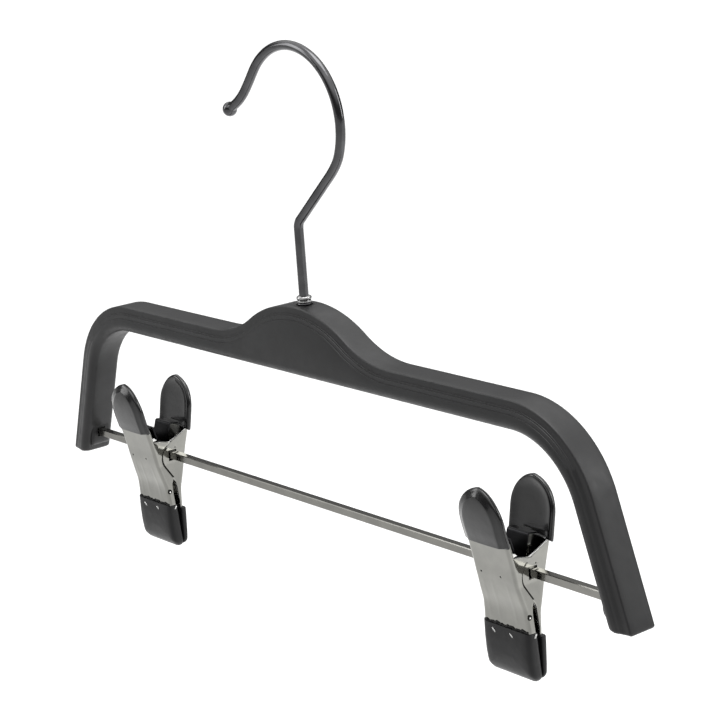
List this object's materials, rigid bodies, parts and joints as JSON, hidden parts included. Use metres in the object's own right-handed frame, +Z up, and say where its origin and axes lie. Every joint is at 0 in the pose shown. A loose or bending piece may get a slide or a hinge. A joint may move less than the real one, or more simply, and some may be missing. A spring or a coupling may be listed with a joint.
{
  "type": "clothes hanger",
  "caption": "Arched skirt and trouser hanger with a swivelling wire hook and sprung, sliding jaw clips on a square bar.",
  "frame": {"origin": "the seat inside the top of the hook, where the rail carries the hanger, on the hook shank's axis", "axes": "+X across the hanger towards the right clip, +Y to the back (the front faces -Y), +Z up"},
  "size_m": [0.36, 0.0314, 0.2307],
  "materials": {
    "body_plastic": "satin moulded charcoal plastic",
    "hook_plating": "black nickel plated steel wire, polished",
    "bar_plating": "black nickel plated square bar, polished",
    "clip_plating": "gunmetal plated pressed sheet, satin",
    "grip_vinyl": "gloss black dipped vinyl",
    "pad_vinyl": "satin black soft vinyl",
    "spring_steel": "blackened spring steel"
  },
  "bodies": {
    "hook": {"hook_wire": "hook_plating", "hook_collar": "hook_plating", "hook_washer": "hook_plating", "hook_nut": "hook_plating"},
    "hanger": {"hanger_body": "body_plastic", "hook_bushing": "hook_plating", "clip_bar": "bar_plating"},
    "left_clip": {"left_rear_plate": "clip_plating", "left_rear_grip": "grip_vinyl", "left_rear_pad": "pad_vinyl", "left_spring": "spring_steel"},
    "left_jaw": {"left_front_plate": "clip_plating", "left_front_grip": "grip_vinyl", "left_front_pad": "pad_vinyl"},
    "right_clip": {"right_rear_plate": "clip_plating", "right_rear_grip": "grip_vinyl", "right_rear_pad": "pad_vinyl", "right_spring": "spring_steel"},
    "right_jaw": {"right_front_plate": "clip_plating", "right_front_grip": "grip_vinyl", "right_front_pad": "pad_vinyl"}
  },
  "joints": [
    {"name": "hook_swivel", "type": "hinge", "parent": "hook", "child": "hanger", "pos_m": [0, 0, 0], "axis": [0, 0, 1], "continuous": true},
    {"name": "left_clip_slide", "type": "slide", "parent": "hanger", "child": "left_clip", "axis": [1, 0, 0], "range_m": [-0.0226, 0.1029]},
    {"name": "left_jaw_squeeze", "type": "hinge", "parent": "left_clip", "child": "left_jaw", "pos_m": [-0.1162, -0.002, -0.18554], "axis": [-1, 0, 0], "range_deg": [0, 24], "stiffness_Nm_per_rad": 0.6, "springref_deg": -28.65, "deforming": ["left_spring"]},
    {"name": "right_clip_slide", "type": "slide", "parent": "hanger", "child": "right_clip", "axis": [1, 0, 0], "range_m": [-0.1019, 0.0236]},
    {"name": "right_jaw_squeeze", "type": "hinge", "parent": "right_clip", "child": "right_jaw", "pos_m": [0.1152, -0.002, -0.18554], "axis": [-1, 0, 0], "range_deg": [0, 24], "stiffness_Nm_per_rad": 0.6, "springref_deg": -28.65, "deforming": ["right_spring"]}
  ]
}
